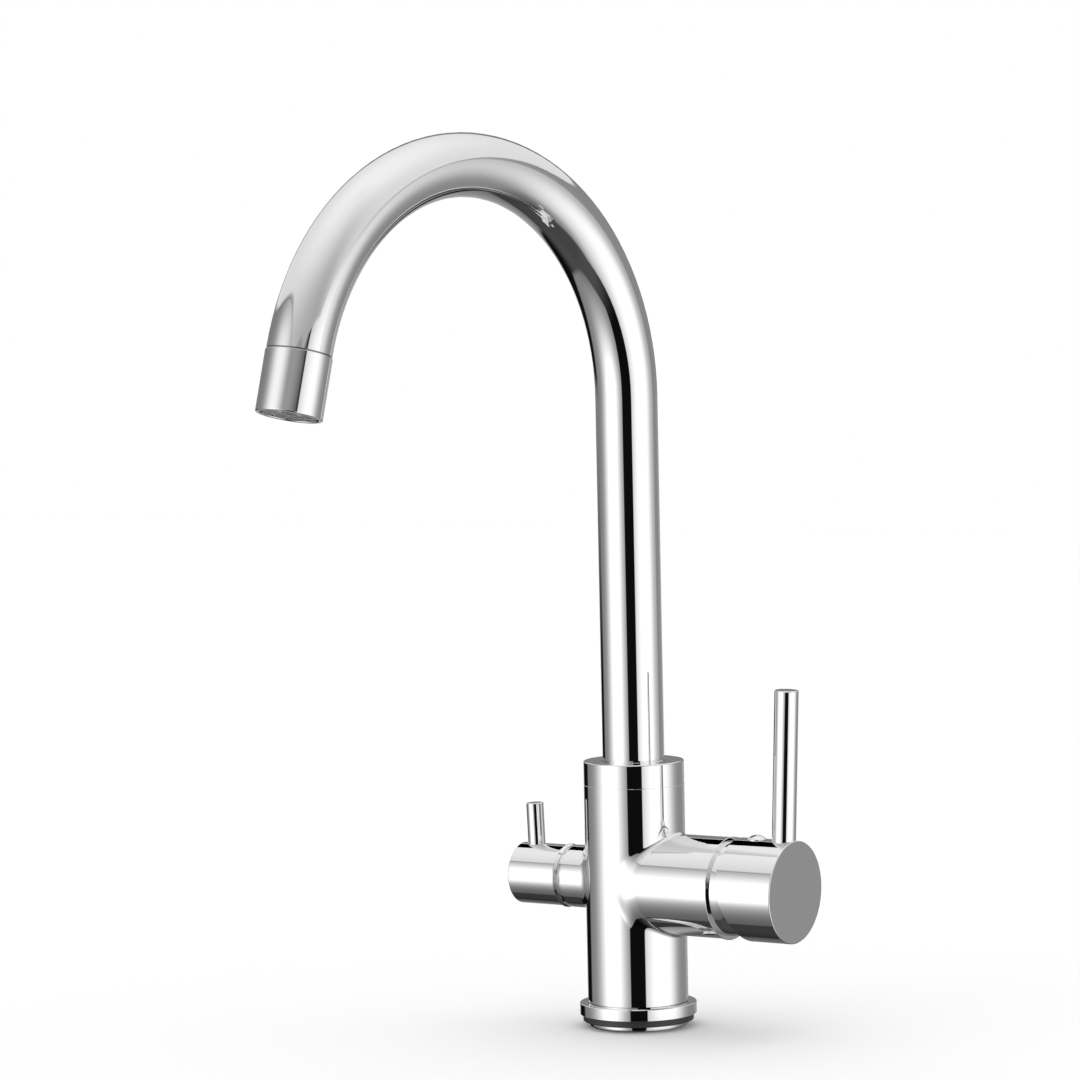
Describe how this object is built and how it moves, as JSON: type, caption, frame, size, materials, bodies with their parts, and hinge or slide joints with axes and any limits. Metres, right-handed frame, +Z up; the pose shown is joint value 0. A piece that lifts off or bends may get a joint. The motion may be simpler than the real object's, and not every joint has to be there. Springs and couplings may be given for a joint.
{
  "type": "three way filtered water tap",
  "caption": "Chrome kitchen mixer tap with a swivelling gooseneck spout, a side lever for hot and cold water and a small quarter-turn lever for filtered water.",
  "frame": {"origin": "on the axis of the upright body and riser, in the plane of the body's bottom face, where the fixing stud's thread opens", "axes": "+Z up along the riser; +X along the mixer arm towards its lever; -X along the filter valve; the spout reaches towards -Y, turned 8.6 degrees towards -X as in the picture"},
  "size_m": [0.1474, 0.2511, 0.4039],
  "materials": {
    "chrome": "polished chrome plate on brass",
    "rubber": "moulded rubber, slightly shiny",
    "brass": "turned brass",
    "white_plastic": "moulded plastic",
    "grey_plastic": "moulded plastic",
    "ceramic": "lapped ceramic",
    "steel": "stainless steel"
  },
  "bodies": {
    "tap_body": {"body_casting": "chrome", "base_ring": "chrome", "base_gasket": "rubber", "top_collar": "chrome", "slip_rings": "white_plastic", "filter_nipple": "brass", "filter_nipple_o_ring": "rubber", "cartridge_base": "white_plastic", "cartridge_base_seals": "rubber", "cartridge_fixed_disc": "ceramic", "cartridge_housing": "white_plastic", "cartridge_nut": "brass", "dome_shroud": "chrome", "filter_seat_seal": "rubber", "filter_spacer_ring": "chrome", "filter_bonnet": "brass", "filter_fixed_disc": "ceramic"},
    "spout": {"spout_tube": "chrome", "spout_bush": "brass", "spout_o_rings": "rubber", "filter_tube_socket": "brass", "filter_tube": "white_plastic", "nozzle_adapter": "brass", "nozzle_sleeve": "chrome", "nozzle_washer": "rubber", "aerator_housing": "grey_plastic", "aerator_screen": "steel", "filter_outlet": "grey_plastic"},
    "mixer_rotor": {"cartridge_rotor": "grey_plastic", "stem_pin": "steel"},
    "mixer_disc": {"cartridge_moving_disc": "ceramic", "disc_carrier": "grey_plastic"},
    "mixer_lever": {"cartridge_stem": "steel", "lever_cap": "chrome", "lever_rod": "chrome", "lever_set_screw": "steel", "index_plug": "chrome"},
    "filter_lever": {"filter_handle": "chrome", "filter_handle_pin": "chrome", "filter_handle_screw": "steel", "filter_spindle": "brass", "filter_spindle_o_ring": "rubber", "filter_spindle_clip": "steel", "filter_moving_disc": "ceramic"}
  },
  "joints": [
    {"name": "spout_swivel", "type": "hinge", "parent": "tap_body", "child": "spout", "pos_m": [0, 0, 0.1], "axis": [0, 0, 1], "continuous": true},
    {"name": "mixer_turn", "type": "hinge", "parent": "tap_body", "child": "mixer_rotor", "pos_m": [0.0455, 0, 0.06549], "axis": [1, 0, 0], "range_deg": [-50, 50]},
    {"name": "mixer_tilt", "type": "hinge", "parent": "mixer_rotor", "child": "mixer_lever", "pos_m": [0.0455, 0, 0.06549], "axis": [0, 1, 0], "range_deg": [0, 18]},
    {"name": "disc_slide", "type": "slide", "parent": "mixer_rotor", "child": "mixer_disc", "axis": [0, 0, 1], "range_m": [0, 0.0031]},
    {"name": "filter_turn", "type": "hinge", "parent": "tap_body", "child": "filter_lever", "pos_m": [-0.05, 0, 0.06628], "axis": [1, 0, 0], "range_deg": [0, 90]}
  ],
  "couplings": [
    {"joint": "disc_slide", "follows": "mixer_tilt", "m_per_rad": 0.0096395}
  ]
}
